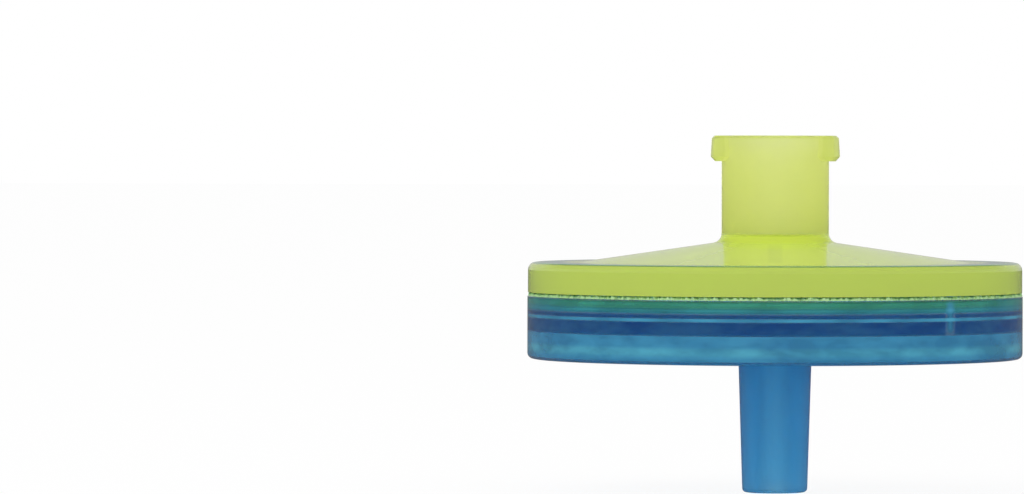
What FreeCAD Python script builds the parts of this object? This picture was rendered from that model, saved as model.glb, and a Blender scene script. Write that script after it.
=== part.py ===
import FreeCAD, Part

import math
import os
from types import SimpleNamespace

import Sketcher

# Disc filter for a syringe: two round polypropylene mouldings welded together round one membrane.
# Millimetres. The origin is the centre of the nozzle's tip, with +Z along the axis towards the inlet.

DIMENSIONS = {
    # outlet housing: nozzle, a male Luer slip cone with a 6 % taper
    "nozzle_length": 8.1,
    "nozzle_tip_radius": 1.975,
    "luer_half_taper": 0.03,
    "nozzle_tip_round": 0.25,
    "nozzle_root_bevel": 0.3,
    "lumen_tip_radius": 0.64,
    "lumen_floor_radius": 0.75,
    "drain_mouth_radius": 1.5,
    "drain_mouth_depth": 0.35,
    # outlet housing: skirt, underside recess and floor
    "skirt_radius": 15.0,
    "skirt_height": 3.77,
    "skirt_lower_round": 0.35,
    "recess_depth": 1.7,
    "recess_mouth_radius": 13.2,
    "recess_draft": 0.1,
    "recess_lip_bevel": 0.15,
    "floor_thickness": 1.29,
    "pocket_radius": 13.2,
    "ledge_height": 0.2,
    "collar_socket_radius": 13.8,
    "drain_depth": 0.4,
    "drain_width": 0.6,
    "drain_count": 8,
    "drain_start": 3.2,
    "drain_ring_count": 2,
    "drain_ring_radius": 5.4,
    "drain_ring_pitch": 3.8,
    # the weld between the housings, and the crest that presses the membrane against the collar
    "seam_gap": 0.25,
    "weld_crest_radius": 14.65,
    "pinch_crest_radius": 12.4,
    "pinch_foot_radius": 11.5,
    "pinch_height": 0.06,
    "membrane_radius": 13.1,
    "membrane_thickness": 0.2,
    # inlet housing: rim, collar and conical roof
    "rim_radius": 14.97,
    "rim_height": 1.81,
    "rim_round": 0.45,
    "collar_radius": 13.7,
    "cavity_radius": 11.0,
    "cavity_depth": 0.5,
    "cone_radius": 11.8,
    "cone_rise": 1.25,
    # inlet housing: hub, a female Luer cone with the same taper
    "hub_radius": 3.25,
    "hub_height": 7.67,
    "hub_root_round": 0.6,
    "hub_lip_bevel": 0.15,
    "bore_mouth_radius": 2.145,
    "bore_depth": 6.1,
    "web_thickness": 0.8,
    "plenum_top_radius": 2.3,
    "plenum_foot_radius": 3.2,
    # four ports through the web, a triangle each, which leave a cross that breaks the jet
    "port_count": 4,
    "port_apex": 0.76,
    "port_base": 1.57,
    "port_half_width": 0.81,
    # two lock lugs on the hub, a little wider below than above
    "lug_count": 2,
    "lug_radius": 3.84,
    "lug_draft_angle": 3.5,
    "lug_height": 1.55,
    "lug_inner_radius": 2.7,
    "lug_buried": 0.2,
    "lug_lead_angle": 16.0,
    "lug_lead_foot_angle": 36.0,
    "lug_tail_angle": 24.0,
    "lug_tail_foot_angle": 42.0,
    "lug_upper_bevel": 0.15,
    "lug_lower_bevel": 0.28,
    # flow pattern on both sides of the membrane: channels from the middle, joined by ring grooves
    "main_channel_count": 4,
    "main_channel_width": 0.87,
    "main_channel_start": 2.6,
    "main_channel_depth": 0.25,
    "side_channel_count": 8,
    "side_channel_width": 0.5,
    "side_channel_start": 3.4,
    "side_channel_depth": 0.1,
    "channel_end": 10.8,
}


class Size:
    """A number together with the spreadsheet expression that drives it."""

    def __init__(self, text, value):
        self.text = text
        self.value = value

    def joined(self, sign, other, value):
        return Size(f"({self.text} {sign} {as_size(other).text})", value)

    def __add__(self, other):
        return self.joined("+", other, self.value + as_size(other).value)

    def __sub__(self, other):
        return self.joined("-", other, self.value - as_size(other).value)

    def __mul__(self, other):
        return self.joined("*", other, self.value * as_size(other).value)

    def __truediv__(self, other):
        return self.joined("/", other, self.value / as_size(other).value)


def as_size(number):
    """A bare number joins an expression as itself."""
    return number if isinstance(number, Size) else Size(repr(number), number)


AXIS = Size("0", 0.0)


def polar(radius, degrees, side=1):
    """The corner at this radius and this many degrees from the X axis, to the left or (side -1) the right."""
    angle = math.radians(degrees.value)
    across = Size(f"({radius.text} * cos({degrees.text} * 1 deg))", radius.value * math.cos(angle))
    along = Size(
        f"({side} * {radius.text} * sin({degrees.text} * 1 deg))",
        side * radius.value * math.sin(angle),
    )
    return across, along


def driving_sheet(document):
    """Write the driving dimensions into the spreadsheet and return them as sizes."""
    sheet = document.addObject("Spreadsheet::Sheet", "dims")
    for row, (name, value) in enumerate(DIMENSIONS.items(), 1):
        sheet.set(f"A{row}", name)
        sheet.set(f"B{row}", str(value))
        sheet.setAlias(f"B{row}", name)
    document.recompute()
    return SimpleNamespace(**{name: Size(f"dims.{name}", value) for name, value in DIMENSIONS.items()})


def add_levels(d):
    """Heights above the nozzle's tip, each from the one below it."""
    d.skirt_bottom = d.nozzle_length
    d.floor_underside = d.skirt_bottom + d.recess_depth
    d.floor_top = d.floor_underside + d.floor_thickness
    d.ledge_top = d.floor_top + d.ledge_height
    d.membrane_bottom = d.floor_top + d.pinch_height
    d.membrane_top = d.membrane_bottom + d.membrane_thickness
    d.cavity_ceiling = d.membrane_top + d.cavity_depth
    d.skirt_top = d.skirt_bottom + d.skirt_height
    d.rim_bottom = d.skirt_top + d.seam_gap
    d.rim_top = d.rim_bottom + d.rim_height
    d.hub_root = d.rim_top + d.cone_rise
    d.hub_top = d.rim_top + d.hub_height
    d.web_top = d.hub_top - d.bore_depth
    d.web_bottom = d.web_top - d.web_thickness


def new_body(document, label):
    body = document.addObject("PartDesign::Body", label)
    body.Label = label
    body.Placement = FreeCAD.Placement()
    return body


def round_corner(radius, height, size, upward=1):
    """The corners of a convex round between an upright wall at this radius and a level at this height, as
    four flats, because a torus as wide as this part takes thousands of facets."""
    corners = []
    for degrees in (0.0, 22.5, 45.0, 67.5, 90.0):
        out, up = polar(size, as_size(degrees), upward)
        corners.append((radius - size + out, height - size * upward + up))
    return corners


def origin_feature(body, role):
    return next(f for f in body.Origin.OriginFeatures if f.Role == role)


def new_sketch(body, name, plane, height=None):
    """An empty sketch on one of the body's origin planes, lifted along its normal if a height is given."""
    sketch = body.newObject("Sketcher::SketchObject", name)
    sketch.AttachmentSupport = [(origin_feature(body, plane), "")]
    sketch.MapMode = "FlatFace"
    if height is not None:
        sketch.setExpression("AttachmentOffset.Base.z", height.text)
    return sketch


def hold(sketch, kind, segment, distance):
    """Drive the start point of a segment from the sketch's origin, along X or Y."""
    on_axis = {"DistanceX": -2, "DistanceY": -1}
    if distance is AXIS:
        sketch.addConstraint(Sketcher.Constraint("PointOnObject", segment, 1, on_axis[kind]))
        return
    index = sketch.addConstraint(Sketcher.Constraint(kind, -1, 1, segment, 1, distance.value))
    sketch.setExpression(f"Constraints[{index}]", distance.text)


def add_outline(sketch, corners, arc_side=None):
    """Draw a closed outline through the corners, each an (x, y) pair of sizes. Side number arc_side, if any,
    is an arc about the sketch's origin, and the others are straight."""
    first = sketch.GeometryCount
    points = [FreeCAD.Vector(x.value, y.value, 0) for x, y in corners]
    for side, (start, end) in enumerate(zip(points, points[1:] + points[:1])):
        if side == arc_side:
            circle = Part.Circle(FreeCAD.Vector(), FreeCAD.Vector(0, 0, 1), start.Length)
            angles = [math.atan2(point.y, point.x) for point in (start, end)]
            sketch.addGeometry(Part.ArcOfCircle(circle, *angles))
            sketch.addConstraint(Sketcher.Constraint("Coincident", first + side, 3, -1, 1))
        else:
            sketch.addGeometry(Part.LineSegment(start, end))
    for side, (x, y) in enumerate(corners):
        following = first + (side + 1) % len(corners)
        sketch.addConstraint(Sketcher.Constraint("Coincident", first + side, 2, following, 1))
        if side - 1 != arc_side:
            hold(sketch, "DistanceX", first + side, x)
        hold(sketch, "DistanceY", first + side, y)


def revolve(body, kind, name, outlines):
    """Turn the outlines, drawn in radius and height, round the axis. kind is Revolution or Groove."""
    sketch = new_sketch(body, f"{name}_section", "XZ_Plane")
    for corners in outlines:
        add_outline(sketch, corners)
    feature = body.newObject(f"PartDesign::{kind}", name)
    feature.Profile = sketch
    feature.ReferenceAxis = (sketch, ["V_Axis"])
    feature.Angle = 360
    return feature


def extrude(body, kind, name, corners, height, length, reverse, arc_side=None):
    """Pad or pocket one outline, drawn at this height, over this length."""
    sketch = new_sketch(body, f"{name}_outline", "XY_Plane", height)
    add_outline(sketch, corners, arc_side)
    feature = body.newObject(f"PartDesign::{kind}", name)
    feature.Profile = sketch
    feature.setExpression("Length", length.text)
    feature.Reversed = reverse
    return feature


def repeat(body, feature, name, count):
    """Repeat a feature evenly round the axis."""
    pattern = body.newObject("PartDesign::PolarPattern", name)
    pattern.Originals = [feature]
    pattern.Axis = (origin_feature(body, "Z_Axis"), [""])
    pattern.Angle = 360
    pattern.setExpression("Occurrences", count.text)
    body.Tip = pattern
    return pattern


def soften(body, kind, name, size, wanted):
    """Fillet or chamfer, by kind, every edge of the body so far that the test picks out."""
    body.Document.recompute()
    base = body.Tip
    names = [f"Edge{i}" for i, edge in enumerate(base.Shape.Edges, 1) if wanted(edge)]
    if not names:
        raise RuntimeError(f"{body.Label}: no edge for {name}")
    feature = body.newObject(f"PartDesign::{kind}", name)
    feature.Base = (base, names)
    feature.setExpression({"Fillet": "Radius", "Chamfer": "Size"}[kind], size.text)
    return feature


def ring_edge(radius, height):
    """A test for the circular edge of this radius at this height, centred on the axis."""

    def wanted(edge):
        if not isinstance(edge.Curve, Part.Circle):
            return False
        centre = edge.Curve.Center
        off = abs(edge.Curve.Radius - radius.value) + abs(centre.z - height.value)
        return off + math.hypot(centre.x, centre.y) < 1e-4

    return wanted


def outer_edge(radius, height):
    """A test for the edges at this height that reach beyond this radius."""

    def wanted(edge):
        off = max(abs(corner.Point.z - height.value) for corner in edge.Vertexes)
        reach = max(math.hypot(corner.Point.x, corner.Point.y) for corner in edge.Vertexes)
        return off < 1e-4 and reach > radius.value + 0.01

    return wanted


def box_outline(low_x, high_x, low_y, high_y):
    return [(low_x, low_y), (high_x, low_y), (high_x, high_y), (low_x, high_y)]


def outlet_housing(document, d):
    """Blue moulding: nozzle, skirt with a recess under the floor, and a drained floor in a stepped socket."""
    body = new_body(document, "outlet_housing")
    root_radius = d.nozzle_tip_radius + d.luer_half_taper * d.floor_underside
    recess_top_radius = d.recess_mouth_radius - d.recess_draft
    drain_mouth_bottom = d.floor_top - d.drain_mouth_depth
    revolve(body, "Revolution", "shell", [[
        (d.lumen_tip_radius, AXIS),
        *reversed(round_corner(d.nozzle_tip_radius, AXIS, d.nozzle_tip_round, -1)),
        (root_radius, d.floor_underside),
        (recess_top_radius, d.floor_underside),
        (d.recess_mouth_radius, d.skirt_bottom),
        *reversed(round_corner(d.skirt_radius, d.skirt_bottom, d.skirt_lower_round, -1)),
        (d.skirt_radius, d.skirt_top),
        (d.weld_crest_radius, d.rim_bottom),
        (d.collar_socket_radius, d.rim_bottom),
        (d.collar_socket_radius, d.ledge_top),
        (d.pocket_radius, d.ledge_top),
        (d.pocket_radius, d.floor_top),
        (d.pinch_crest_radius, d.membrane_bottom),
        (d.pinch_foot_radius, d.floor_top),
        (d.drain_mouth_radius, d.floor_top),
        (d.lumen_floor_radius, drain_mouth_bottom),
    ]])
    for name, size, edge in (
        ("root_bevel", d.nozzle_root_bevel, ring_edge(root_radius, d.floor_underside)),
        ("lip_bevel", d.recess_lip_bevel, ring_edge(d.recess_mouth_radius, d.skirt_bottom)),
    ):
        soften(body, "Chamfer", name, size, edge)

    half_width = d.drain_width / 2
    ring_radii = [
        d.drain_ring_radius + d.drain_ring_pitch * index
        for index in range(int(d.drain_ring_count.value))
    ]
    revolve(body, "Groove", "drain_rings", [
        box_outline(radius - half_width, radius + half_width, d.floor_top - d.drain_depth, d.floor_top)
        for radius in ring_radii
    ])
    drain = extrude(
        body, "Pocket", "drain",
        box_outline(d.drain_start, d.channel_end, AXIS - half_width, half_width),
        d.floor_top, d.drain_depth, False,
    )
    repeat(body, drain, "drains", d.drain_count)
    return body


def filter_membrane(document, d):
    """White disc that lies on the drained floor and is pinched at its edge."""
    body = new_body(document, "filter_membrane")
    sketch = new_sketch(body, "disc_outline", "XY_Plane", d.membrane_bottom)
    sketch.addGeometry(Part.Circle(FreeCAD.Vector(), FreeCAD.Vector(0, 0, 1), d.membrane_radius.value))
    sketch.addConstraint(Sketcher.Constraint("Coincident", 0, 3, -1, 1))
    radius = sketch.addConstraint(Sketcher.Constraint("Radius", 0, d.membrane_radius.value))
    sketch.setExpression(f"Constraints[{radius}]", d.membrane_radius.text)
    disc = body.newObject("PartDesign::Pad", "disc")
    disc.Profile = sketch
    disc.setExpression("Length", d.membrane_thickness.text)
    return body


def add_channels(body, d):
    """Eight narrow channels in the roof of the cavity, with a wide one over every other."""
    sizes = vars(d)
    for kind in ("main", "side"):
        half_width = sizes[f"{kind}_channel_width"] / 2
        channel = extrude(
            body, "Pocket", f"{kind}_channel",
            box_outline(sizes[f"{kind}_channel_start"], d.channel_end, AXIS - half_width, half_width),
            d.cavity_ceiling, sizes[f"{kind}_channel_depth"], True,
        )
        repeat(body, channel, f"{kind}_channels", sizes[f"{kind}_channel_count"])


def add_lugs(body, d):
    """Two lock lugs: a slanted leading flank, an outer face about the axis, and a blunt tail."""
    foot_radius = d.hub_radius - d.lug_buried
    lug = extrude(
        body, "Pad", "lug",
        [
            polar(d.lug_radius, d.lug_tail_angle, -1),
            polar(d.lug_radius, d.lug_lead_angle),
            polar(foot_radius, d.lug_lead_foot_angle),
            (d.lug_inner_radius, AXIS),
            polar(foot_radius, d.lug_tail_foot_angle, -1),
        ],
        d.hub_top, d.lug_height, True, arc_side=0,
    )
    lug.setExpression("TaperAngle", d.lug_draft_angle.text)
    repeat(body, lug, "lugs", d.lug_count)
    lug_bottom = d.hub_top - d.lug_height
    soften(body, "Chamfer", "lug_upper_bevel", d.lug_upper_bevel, outer_edge(d.hub_radius, d.hub_top))
    soften(body, "Chamfer", "lug_lower_bevel", d.lug_lower_bevel, outer_edge(d.hub_radius, lug_bottom))


def inlet_housing(document, d):
    """Yellow-green moulding: conical roof, rim and collar, and a hub whose bore ends in a cross."""
    body = new_body(document, "inlet_housing")
    bore_floor_radius = d.bore_mouth_radius - d.luer_half_taper * d.bore_depth
    revolve(body, "Revolution", "roof", [[
        (AXIS, d.web_bottom),
        (d.plenum_top_radius, d.web_bottom),
        (d.plenum_foot_radius, d.cavity_ceiling),
        (d.cavity_radius, d.cavity_ceiling),
        (d.cavity_radius, d.membrane_top),
        (d.collar_radius, d.membrane_top),
        (d.collar_radius, d.rim_bottom),
        (d.rim_radius, d.rim_bottom),
        *round_corner(d.rim_radius, d.rim_top, d.rim_round),
        (d.cone_radius, d.rim_top),
        (d.hub_radius, d.hub_root),
        (d.hub_radius, d.hub_top),
        (d.bore_mouth_radius, d.hub_top),
        (bore_floor_radius, d.web_top),
        (AXIS, d.web_top),
    ]])
    soften(body, "Fillet", "hub_root_round", d.hub_root_round, ring_edge(d.hub_radius, d.hub_root))
    for name, size, edge in (
        ("hub_lip_bevel", d.hub_lip_bevel, ring_edge(d.hub_radius, d.hub_top)),
        ("bore_lip_bevel", d.hub_lip_bevel, ring_edge(d.bore_mouth_radius, d.hub_top)),
    ):
        soften(body, "Chamfer", name, size, edge)
    port = extrude(
        body, "Pocket", "port",
        [
            (d.port_apex, AXIS),
            (d.port_base, AXIS - d.port_half_width),
            (d.port_base, d.port_half_width),
        ],
        d.web_top, d.web_thickness, False,
    )
    repeat(body, port, "ports", d.port_count)
    add_channels(body, d)
    add_lugs(body, d)
    return body


def check(document, bodies):
    """Stop unless every object recomputed cleanly and every body is one valid solid."""
    for item in document.Objects:
        if {"Invalid", "Error"} & set(item.State):
            raise RuntimeError(f"{item.Name} failed: {item.State}")
    for body in bodies:
        shape = body.Shape
        if shape.isNull() or not shape.isValid() or len(shape.Solids) != 1:
            raise RuntimeError(f"{body.Label} isn't one valid solid")


def main():
    document = FreeCAD.newDocument("syringe_filter")
    d = driving_sheet(document)
    add_levels(d)
    bodies = [make(document, d) for make in (outlet_housing, filter_membrane, inlet_housing)]
    document.recompute()
    check(document, bodies)
    os.makedirs("parts", exist_ok=True)
    for body in bodies:
        body.Shape.exportStep(f"parts/{body.Label}.step")
        print(f"{body.Label}: {body.Shape.Volume:.1f} cubic millimetres")


main()
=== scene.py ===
import math
from collections import namedtuple

import bpy
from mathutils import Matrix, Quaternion, Vector, noise


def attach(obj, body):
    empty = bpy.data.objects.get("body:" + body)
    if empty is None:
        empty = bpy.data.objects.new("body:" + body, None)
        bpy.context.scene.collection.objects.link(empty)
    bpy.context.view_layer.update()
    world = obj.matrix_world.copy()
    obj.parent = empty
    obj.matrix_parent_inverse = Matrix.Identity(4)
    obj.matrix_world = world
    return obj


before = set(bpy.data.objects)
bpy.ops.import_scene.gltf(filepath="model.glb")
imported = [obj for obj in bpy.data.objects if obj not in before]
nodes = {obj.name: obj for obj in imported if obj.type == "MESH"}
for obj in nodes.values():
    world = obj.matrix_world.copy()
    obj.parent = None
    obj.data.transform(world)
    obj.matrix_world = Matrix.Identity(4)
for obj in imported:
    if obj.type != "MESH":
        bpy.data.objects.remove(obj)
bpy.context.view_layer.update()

# Syringe filter. Lengths are in metres. The origin is the centre of the nozzle's end, and +Z runs along the
# axis to the inlet, as in the CAD model.

NARROW = 0.00004  # how soft the border of a zone is, where nothing else is said
WHITE = (1, 1, 1, 1)


# ---------------------------------------------------------------- node helpers

class Nodes:
    """Short names for building a node tree."""

    def __init__(self, tree):
        self.tree = tree
        tree.nodes.clear()

    def add(self, kind, **settings):
        node = self.tree.nodes.new(kind)
        for name, value in settings.items():
            setattr(node, name, value)
        return node

    def link(self, source, target):
        self.tree.links.new(source, target)

    def feed(self, socket, value):
        """Link a socket to another, or set its number."""
        if isinstance(value, bpy.types.NodeSocket):
            self.link(value, socket)
        else:
            socket.default_value = value

    def math(self, operation, *values, clamp=False):
        node = self.add("ShaderNodeMath", operation=operation, use_clamp=clamp)
        for socket, value in zip(node.inputs, values):
            self.feed(socket, value)
        return node.outputs[0]

    def mix_colour(self, factor, first, second):
        node = self.add("ShaderNodeMix", data_type="RGBA")
        self.feed(node.inputs[0], factor)
        self.feed(node.inputs[6], first)
        self.feed(node.inputs[7], second)
        return node.outputs[2]

    def noise(self, vector, scale, detail):
        node = self.add("ShaderNodeTexNoise")
        self.link(vector, node.inputs["Vector"])
        node.inputs["Scale"].default_value = scale
        node.inputs["Detail"].default_value = detail
        return node.outputs[0]

    def object_place(self):
        return self.add("ShaderNodeTexCoord").outputs["Object"]

    def axes(self, vector):
        node = self.add("ShaderNodeSeparateXYZ")
        self.link(vector, node.inputs[0])
        return node.outputs[0], node.outputs[1], node.outputs[2]

    def radius(self, x, y):
        """Distance from the upright axis."""
        squares = self.math("ADD", self.math("MULTIPLY", x, x), self.math("MULTIPLY", y, y))
        return self.math("SQRT", squares)

    def remap(self, value, low, high, to_low=0.0, to_high=1.0):
        """Where value lies from low to high, as a number from to_low to to_high."""
        node = self.add("ShaderNodeMapRange")
        for socket, number in zip(node.inputs, (value, low, high, to_low, to_high)):
            self.feed(socket, number)
        return node.outputs[0]

    def stretch(self, noise_value, width, to_low=0.0, to_high=1.0):
        """Noise keeps near 0.5. This spreads a band of that width round 0.5 over the whole way from to_low to
        to_high."""
        return self.remap(noise_value, 0.5 - width / 2, 0.5 + width / 2, to_low, to_high)

    def all_of(self, *factors):
        product = factors[0]
        for factor in factors[1:]:
            product = self.math("MULTIPLY", product, factor)
        return product

    def between(self, value, low, high, edge=NARROW):
        """1 from low to high, with borders as soft as edge, and 0 outside."""
        return self.all_of(
            self.remap(value, low - edge, low + edge), self.remap(value, high - edge, high + edge, 1.0, 0.0))

    def finish(self, surface, volume=None):
        out = self.add("ShaderNodeOutputMaterial")
        self.link(surface.outputs[0], out.inputs["Surface"])
        if volume:
            self.link(volume.outputs[0], out.inputs["Volume"])


def new_material(name):
    material = bpy.data.materials.new(name)
    material.use_nodes = True
    return material, Nodes(material.node_tree)


def dress(node_name, material):
    """Give a CAD node its material."""
    mesh = nodes[node_name].data
    mesh.materials.clear()
    mesh.materials.append(material)


def linear(red, green, blue):
    """Linear colour from 8-bit display values."""
    return tuple(((c / 255 + 0.055) / 1.055) ** 2.4 for c in (red, green, blue)) + (1.0,)


# ---------------------------------------------------------------- the two plastics

# A stretch of wall, by its distance from the axis and its height. dull is what it adds to the roughness, most
# in the bores, since a mould's cores aren't polished. bare is how far its tint gives way to white.
Wall = namedtuple("Wall", "low_radius high_radius low_height high_height dull bare")

# A ring of wall with a colour of its own, or, for two rings of the blue skirt, a painted highlight. share is
# the share of the light that it throws back, like milk, and 0 if the colour only tints what goes through. weak
# and strong are how far it shows in the weakest and in the strongest patch. edge is how soft its heights are,
# and soft how soft its radii are.
Milky = namedtuple(
    "Milky", "low_radius high_radius low_height high_height colour share weak strong edge soft",
    defaults=(0.0, 1.0, 1.0, NARROW, NARROW))

# A line in the front of the skirt, where the melt met itself, and its softness across and upwards.
Knit = namedtuple("Knit", "low_x high_x low_height high_height colour share across upwards")

# The four channels that show through the roof, along the x and y axes. side and end are how soft their sides
# and their ends are.
Channels = namedtuple(
    "Channels", "half_width low_radius high_radius low_height high_height colour amount side end")

REFRACTION = 1.49
ROUGHNESS = 0.1
ROUGHNESS_SPREAD = 0.15
TINT_SPREAD = 0.2

# Three noises, and the width of the band that each is stretched from.
CLOUD, CLOUD_BAND = dict(scale=90.0, detail=4.0), 0.3       # slow changes of tint, and the skin's faint waves
GRAIN, GRAIN_BAND = dict(scale=1400.0, detail=3.0), 0.4     # fine grain of the skin
PATCHES, PATCH_BAND = dict(scale=330.0, detail=3.0), 0.24   # where milky rings show less and more
PATCH_FLATTENING = 2.5      # patches are this many times as wide as they are high
WAVE_STRENGTH = 0.15
WAVE_HEIGHT = 0.00002

SKIRT_FACE = (0.0148, 0.0152)   # radii with the skirt's outer face between them


def zone_of(n, radius, z, part, soft=NARROW, edge=NARROW):
    return n.all_of(
        n.between(radius, part.low_radius, part.high_radius, soft),
        n.between(z, part.low_height, part.high_height, edge))


def fully_coloured(n, zone):
    """A milky colour covers all but the outermost part of its zone, because a mix with the pale tint there
    would make a light line."""
    return n.math("MULTIPLY", zone, 2.0, clamp=True)


def translucent_plastic(
        name, tint, absorb_colour, absorb_density, scatter_density, walls, milky, knit=None, channels=None):
    """Moulded translucent polypropylene: a glossy skin over a cloudy, dyed inside. The light inside scatters,
    and loses colour with the way it goes, so a thick part is deeper in colour than a thin wall."""
    material, n = new_material(name)
    place = n.object_place()
    x, y, z = n.axes(place)
    radius = n.radius(x, y)
    cloud = n.noise(place, **CLOUD)

    grain = n.noise(place, **GRAIN)
    roughness = n.stretch(
        grain, GRAIN_BAND, ROUGHNESS * (1 - ROUGHNESS_SPREAD), ROUGHNESS * (1 + ROUGHNESS_SPREAD))
    bare = 0.0
    for wall in walls:
        zone = zone_of(n, radius, z, wall)
        roughness = n.math("ADD", roughness, n.math("MULTIPLY", zone, wall.dull))
        bare = n.math("MAXIMUM", bare, n.math("MULTIPLY", zone, wall.bare))

    pale, deep = (tuple(c ** power for c in tint) + (1.0,) for power in (1 - TINT_SPREAD, 1 + TINT_SPREAD))
    colour = n.mix_colour(n.stretch(cloud, CLOUD_BAND), pale, deep)
    colour = n.mix_colour(bare, colour, WHITE)
    clear = 1.0
    flattened = n.add("ShaderNodeMapping")
    flattened.inputs["Scale"].default_value = (1.0, 1.0, PATCH_FLATTENING)
    n.link(place, flattened.inputs["Vector"])
    patch = n.noise(flattened.outputs[0], **PATCHES)
    for ring in milky:
        zone = zone_of(n, radius, z, ring, ring.soft, ring.edge)
        amount = n.all_of(zone, n.stretch(patch, PATCH_BAND, ring.weak, ring.strong))
        cover = fully_coloured(n, zone) if ring.share else amount
        colour = n.mix_colour(cover, colour, ring.colour + (1.0,))
        clear = n.math("SUBTRACT", clear, n.math("MULTIPLY", amount, ring.share))
    if channels:
        off_axis = n.math("MINIMUM", n.math("ABSOLUTE", x), n.math("ABSOLUTE", y))
        inner, outer = channels.half_width - channels.side, channels.half_width + channels.side
        zone = n.all_of(
            n.remap(off_axis, inner, outer, channels.amount, 0.0),
            zone_of(n, radius, z, channels, channels.end))
        colour = n.mix_colour(zone, colour, channels.colour + (1.0,))
    if knit:
        in_front = n.remap(y, 0.0, 0.0001, 1.0, 0.0)
        zone = n.all_of(
            n.between(x, knit.low_x, knit.high_x, knit.across),
            n.between(z, knit.low_height, knit.high_height, knit.upwards),
            n.between(radius, *SKIRT_FACE), in_front)
        colour = n.mix_colour(fully_coloured(n, zone), colour, knit.colour + (1.0,))
        clear = n.math("SUBTRACT", clear, n.math("MULTIPLY", zone, knit.share))

    waves = n.add("ShaderNodeBump")
    waves.inputs["Strength"].default_value = WAVE_STRENGTH
    waves.inputs["Distance"].default_value = WAVE_HEIGHT
    n.link(cloud, waves.inputs["Height"])
    skin = n.add("ShaderNodeBsdfPrincipled")
    n.link(colour, skin.inputs["Base Color"])
    n.link(roughness, skin.inputs["Roughness"])
    n.link(waves.outputs[0], skin.inputs["Normal"])
    n.link(n.math("MAXIMUM", clear, 0.0), skin.inputs["Transmission Weight"])
    skin.inputs["IOR"].default_value = REFRACTION

    dye = n.add("ShaderNodeVolumeAbsorption")
    dye.inputs["Color"].default_value = absorb_colour
    dye.inputs["Density"].default_value = absorb_density
    haze = n.add("ShaderNodeVolumeScatter")
    haze.inputs["Color"].default_value = WHITE
    haze.inputs["Density"].default_value = scatter_density
    inside = n.add("ShaderNodeAddShader")
    n.link(dye.outputs[0], inside.inputs[0])
    n.link(haze.outputs[0], inside.inputs[1])
    n.finish(skin, inside)
    return material


RIM_TOP = 0.01386   # just under the top of the rim, where the roof starts

# Where neighbouring rings of the roof meet. They share the radius and its softness, so that no line shows.
HUB_ROOT, TEAL_FROM, TEAL_TO = 0.0039, 0.0131, 0.0143

lime = translucent_plastic(
    "lime_polypropylene", tint=(0.84, 0.91, 0.57),
    absorb_colour=(0.9784, 0.9871, 0.0000, 1), absorb_density=232.0, scatter_density=520.0,
    walls=(
        # bore, outside of the hub with its lugs, and underside of the roof
        Wall(0.0, 0.00245, 0.0155, 0.0214, dull=0.6, bare=1.0),
        Wall(0.003, 0.0042, 0.0156, 0.0218, dull=0.2, bare=0.0),
        Wall(0.0, 0.0131, 0.0113, 0.0132, dull=0.0, bare=1.0),
    ),
    milky=(
        # face of the rim
        Milky(0.0145, 0.0152, 0.0119, RIM_TOP, (0.70, 0.86, 0.16), share=0.62, edge=0.00002),
        # lugs
        Milky(0.0034, 0.0042, 0.0198, 0.0218, (0.72, 0.80, 0.42)),
        # root of the hub, and the roof
        Milky(0.0028, HUB_ROOT, RIM_TOP, 0.0156, (0.80, 0.96, 0.13), share=0.58, edge=0.0001, soft=0.0004),
        Milky(
            HUB_ROOT, TEAL_FROM, RIM_TOP, 0.0152, (0.80, 0.97, 0.20), share=0.58, edge=0.00002, soft=0.0004),
        # the blue housing below shines through the roof's outer part, and less through its border
        Milky(
            TEAL_FROM, TEAL_TO, RIM_TOP, 0.0140, (0.045, 0.30, 0.24),
            share=0.6, weak=0.9, edge=0.00002, soft=0.0005),
        Milky(
            TEAL_TO, 0.0157, 0.01388, 0.0140, (0.20, 0.52, 0.22),
            share=0.5, weak=0.9, edge=0.00002, soft=0.0005),
    ),
    channels=Channels(
        0.00043, 0.0040, 0.0108, 0.0139, 0.0154, (0.66, 0.80, 0.20), amount=0.4, side=0.0001, end=0.0003))
blue = translucent_plastic(
    "blue_polypropylene", tint=(0.85, 0.95, 0.98),
    absorb_colour=(0.0000, 0.7056, 0.8889, 1), absorb_density=900.0, scatter_density=200.0,
    walls=(
        # lumen, recess in the underside, and outside of the nozzle
        Wall(0.0, 0.0009, -0.001, 0.0098, dull=0.6, bare=1.0),
        Wall(0.0025, 0.0138, 0.0079, 0.0099, dull=0.2, bare=1.0),
        Wall(0.0015, 0.0026, -0.001, 0.0080, dull=0.3, bare=0.0),
    ),
    milky=(
        # the light line in the skirt, a painted highlight for light reflected inside the skirt, and the navy
        # band below it
        Milky(*SKIRT_FACE, 0.01064, 0.01083, (0.068, 0.38, 0.58), share=0.78, weak=0.6, edge=0.00003),
        Milky(*SKIRT_FACE, 0.0099, 0.01061, (0.30, 0.48, 0.78), weak=0.1),
        # the skirt round the recess, with lighter patches low down, which are painted highlights
        Milky(0.0146, 0.0152, 0.0083, 0.0098, (0.066, 0.345, 0.56), share=0.7, weak=0.6, edge=0.00002),
        Milky(
            0.0146, 0.0152, 0.0087, 0.0090, (0.09, 0.42, 0.57), share=0.3, weak=0.0, strong=0.8, edge=0.0002),
        # the top of the skirt, which is greener towards the lime housing
        Milky(*SKIRT_FACE, 0.01115, 0.01145, (0.060, 0.43, 0.46), share=0.53, weak=0.7, edge=0.00012),
        Milky(*SKIRT_FACE, 0.0115, 0.0118, (0.075, 0.48, 0.37), share=0.5, weak=0.6, edge=0.0001),
        # nozzle
        Milky(0.0015, 0.0026, -0.001, 0.0080, (0.84, 0.79, 0.87)),
    ),
    knit=Knit(0.0102, 0.01048, 0.0099, 0.0117, (0.07, 0.37, 0.55), share=0.55, across=0.0002, upwards=0.0003))


# ---------------------------------------------------------------- membrane

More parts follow.
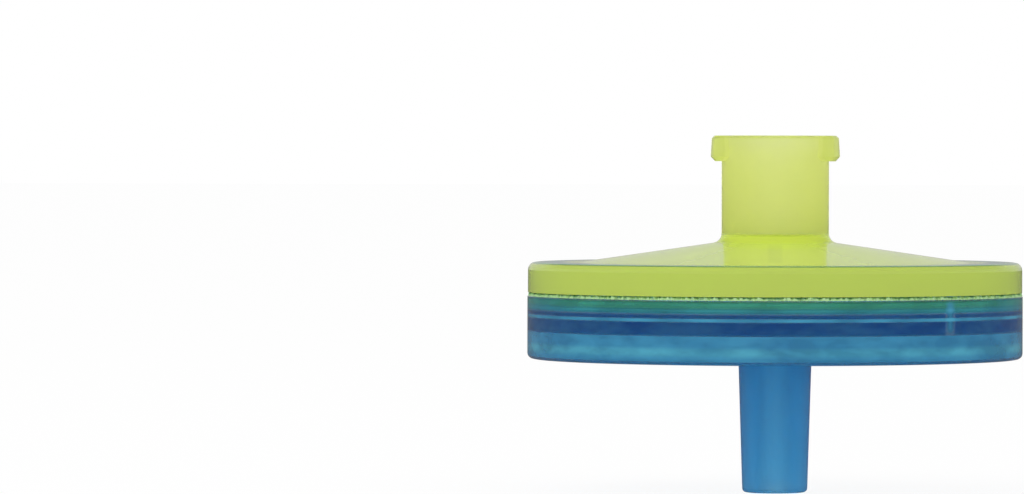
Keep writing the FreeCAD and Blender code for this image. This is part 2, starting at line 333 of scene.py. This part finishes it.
MOTTLE = dict(scale=900.0, detail=5.0)
DULL_WHITE, CLEAN_WHITE = (0.86, 0.86, 0.84, 1), (0.95, 0.95, 0.93, 1)
PINCH_STARTS, PINCH_FULL = 0.01303, 0.01308     # radii of the border, which is pinched between the housings
PINCH_COLOUR = (0.05, 0.20, 0.20, 1)


def membrane_sheet(name):
    """White microporous sheet with a faint mottle."""
    material, n = new_material(name)
    place = n.object_place()
    white = n.mix_colour(n.noise(place, **MOTTLE), DULL_WHITE, CLEAN_WHITE)
    x, y, _ = n.axes(place)
    pinched = n.remap(n.radius(x, y), PINCH_STARTS, PINCH_FULL)
    sheet = n.add("ShaderNodeBsdfPrincipled")
    n.link(n.mix_colour(pinched, white, PINCH_COLOUR), sheet.inputs["Base Color"])
    sheet.inputs["Roughness"].default_value = 0.9
    n.finish(sheet)
    return material


dress("inlet_housing", lime)
dress("outlet_housing", blue)
dress("filter_membrane", membrane_sheet("white_membrane"))


# ---------------------------------------------------------------- weld flash

FLASH_STEPS = 3600      # round the filter
FLASH_WALK = 60.0       # radius of the circle that one round walks through the noise
FLASH_APART = 0.4       # how far apart the walks of neighbouring corners lie
FLASH_FINER = 3.1       # how many times as fine as the first noise the second is
FLASH_CORNERS = (
    # radius and height of each corner of the bead's section, and how far it wanders in and down
    (0.01497, 0.011900, 0.00003, 0.0),
    (0.01472, 0.012090, 0.0, 0.0),
    (0.01474, 0.012118, 0.00002, 0.00004),
    (0.01496, 0.012114, 0.00014, 0.00015),
    (0.01499, 0.011970, 0.00010, 0.00009),
)
# the bead is darkest at FLASH_HIGH, in the notch under the rim: painted shade
FLASH_LOW, FLASH_HIGH = 0.01195, 0.01210    # heights where it is lightest and darkest
FLECKS, FLECK_BAND = dict(scale=3600.0, detail=2.0), 0.24


def raggedness(spot):
    """How far the bead has wandered at this spot of the noise, from 0 to 1."""
    ragged = 0.5 + 0.6 * noise.noise(spot) + 0.5 * noise.noise(spot * FLASH_FINER)
    return min(max(ragged, 0.0), 1.0)


def flash_mesh():
    corners = []
    for step in range(FLASH_STEPS):
        turn = 2 * math.pi * step / FLASH_STEPS
        east, north = math.cos(turn), math.sin(turn)
        for index, (radius, height, inward, down) in enumerate(FLASH_CORNERS):
            ragged = raggedness(Vector((east * FLASH_WALK, north * FLASH_WALK, index * FLASH_APART)))
            out = radius - inward * ragged
            corners.append((out * east, out * north, height - down * ragged))
    sides = len(FLASH_CORNERS)
    faces = []
    for step in range(FLASH_STEPS):
        here, onward = step * sides, (step + 1) % FLASH_STEPS * sides
        for side in range(sides):
            after = (side + 1) % sides
            faces.append((here + side, onward + side, onward + after, here + after))
    mesh = bpy.data.meshes.new("weld_flash")
    mesh.from_pydata(corners, [], faces)
    mesh.update()
    return mesh


def flash_material():
    """Dark green with lighter flecks, which run together low down. Towards its top, in the notch under the rim,
    it is darker: painted shade.
    """
    material, n = new_material("weld_flash")
    place = n.object_place()
    _, _, z = n.axes(place)
    # painted shade: lighter low down and darker towards the top, where the rim overhangs the bead
    light_low_painted_shade_high = n.remap(z, FLASH_LOW, FLASH_HIGH, 0.6, -0.12)
    flecks = n.stretch(n.noise(place, **FLECKS), FLECK_BAND)
    light = n.math("ADD", flecks, light_low_painted_shade_high, clamp=True)
    bead = n.add("ShaderNodeBsdfPrincipled")
    n.link(n.mix_colour(light, linear(68, 138, 98), linear(184, 226, 160)), bead.inputs["Base Color"])
    bead.inputs["Roughness"].default_value = 0.45
    n.finish(bead)
    return material


def weld_flash():
    """The ragged bead of plastic that the weld squeezed out, lying in the notch between the housings."""
    piece = bpy.data.objects.new("weld_flash", flash_mesh())
    bpy.context.scene.collection.objects.link(piece)
    piece.data.materials.append(flash_material())
    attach(piece, "root")


weld_flash()


# ---------------------------------------------------------------- floor, world, light, camera

FLOOR_SIZE = 8.0
FLOOR_GAP = 0.00002     # the floor lies this far below the nozzle, so that their faces don't coincide
FLOOR_WHITE = 0.93      # share of the light that it throws back, and share of plain white in what is seen of it
DARK_CARD = 0.1         # how bright the floor is in reflections, out to the first of these two distances,
FAR_FLOOR = 0.5         # and from the second one on
CARD_ENDS = (0.9, 2.0)
SKY_LOW, SKY_HIGH = 0.55, 0.95      # strength of the light from straight below and straight above
SKY_DIM, SKY_BRIGHT = 0.2, 0.6      # strengths that reflections see


def white_floor():
    """A white floor. Seen directly or through the plastic it is nearly even white, with a faint shadow, and in
    reflections it is dark nearby, like the cards that a photographer puts round clear things."""
    bpy.ops.mesh.primitive_plane_add(size=FLOOR_SIZE, location=(0, 0, -FLOOR_GAP))
    floor = bpy.context.object
    floor.name = "floor"
    material, n = new_material("floor_white")
    matt = n.add("ShaderNodeBsdfDiffuse")
    matt.inputs["Color"].default_value = (FLOOR_WHITE, FLOOR_WHITE, FLOOR_WHITE, 1)
    path = n.add("ShaderNodeLightPath").outputs
    mirrored = n.math("SUBTRACT", path["Is Glossy Ray"], path["Is Transmission Ray"], clamp=True)
    x, y, _ = n.axes(n.object_place())
    dim = n.remap(n.radius(x, y), *CARD_ENDS, DARK_CARD, FAR_FLOOR)
    glow = n.add("ShaderNodeEmission")
    n.link(n.remap(mirrored, 0.0, 1.0, 1.0, dim), glow.inputs["Strength"])
    seen = n.math("MAXIMUM", path["Is Camera Ray"], path["Is Glossy Ray"])
    seen = n.math("MAXIMUM", seen, path["Is Transmission Ray"])
    blend = n.add("ShaderNodeMixShader")
    n.link(n.math("MULTIPLY", seen, FLOOR_WHITE), blend.inputs[0])
    n.link(matt.outputs[0], blend.inputs[1])
    n.link(glow.outputs[0], blend.inputs[2])
    n.finish(blend)
    material.cycles.emission_sampling = "NONE"
    floor.data.materials.append(material)


def white_world():
    """Soft light from all round, a little stronger from above. Seen directly or through the plastic it is
    white, and in reflections it is dim at the horizon and overhead."""
    world = bpy.data.worlds.new("surround")
    bpy.context.scene.world = world
    world.use_nodes = True
    world.cycles.sampling_method = "NONE"
    n = Nodes(world.node_tree)
    path = n.add("ShaderNodeLightPath").outputs
    _, _, up = n.axes(n.add("ShaderNodeTexCoord").outputs["Generated"])
    soft = n.remap(up, -1.0, 1.0, SKY_LOW, SKY_HIGH)
    horizon = n.remap(up, 0.0, 0.03, SKY_DIM, SKY_BRIGHT)
    overhead = n.remap(up, 0.3, 0.45, SKY_BRIGHT, SKY_DIM)
    strength = n.add("ShaderNodeMix", data_type="FLOAT")
    n.feed(strength.inputs[0], path["Is Glossy Ray"])
    n.feed(strength.inputs[2], soft)
    n.feed(strength.inputs[3], n.math("MINIMUM", horizon, overhead))
    seen = n.math("MAXIMUM", path["Is Camera Ray"], path["Is Transmission Ray"])
    sky = n.add("ShaderNodeBackground")
    sky.inputs["Color"].default_value = WHITE
    n.link(n.math("MAXIMUM", strength.outputs[0], seen), sky.inputs["Strength"])
    out = n.add("ShaderNodeOutputWorld")
    n.link(sky.outputs[0], out.inputs["Surface"])


def area_light(name, place, aim, size, power):
    """A round lamp that doesn't show in reflections."""
    data = bpy.data.lights.new(name, "AREA")
    data.shape = "DISK"
    data.size = size
    data.energy = power
    lamp = bpy.data.objects.new(name, data)
    lamp.visible_glossy = False
    bpy.context.scene.collection.objects.link(lamp)
    lamp.location = place
    lamp.rotation_euler = (Vector(aim) - Vector(place)).to_track_quat("-Z", "Y").to_euler()


CAMERA_DISTANCE = 0.402     # from the filter's axis
CAMERA_HEIGHT = 0.0205
FRAME_WIDTH = 0.06206       # of what the frame takes in at the axis
SENSOR_WIDTH = 36.0         # in mm
ROLL = 0.12                 # in degrees, between the tilts of the two housings


def make_camera():
    """A level lens at the height of the hub, with the frame shifted so that the object stands in its right
    half and the nozzle ends at its lower edge."""
    data = bpy.data.cameras.new("camera")
    camera = bpy.data.objects.new("camera", data)
    bpy.context.scene.collection.objects.link(camera)
    bpy.context.scene.camera = camera
    data.sensor_width = SENSOR_WIDTH
    data.lens = SENSOR_WIDTH * CAMERA_DISTANCE / FRAME_WIDTH
    data.shift_x = -0.2572
    data.shift_y = -0.0910
    data.clip_start = 0.05
    data.clip_end = 20.0
    camera.location = (0.0, -CAMERA_DISTANCE, CAMERA_HEIGHT)
    camera.rotation_mode = "QUATERNION"
    level = Vector((0, 1, 0)).to_track_quat("-Z", "Y")
    camera.rotation_quaternion = level @ Quaternion((0, 0, 1), math.radians(ROLL))


white_floor()
white_world()
area_light("top_light", place=(-0.15, -0.20, 0.45), aim=(0, 0, 0.01), size=0.5, power=0.5)
make_camera()

bpy.context.scene.view_settings.view_transform = "Standard"

# light goes through many walls and clouds here, and a soft bounce must not be blurred away
cycles = bpy.context.scene.cycles
cycles.blur_glossy = 0.0
cycles.volume_bounces = 32
cycles.max_bounces = 64
cycles.transmission_bounces = 32
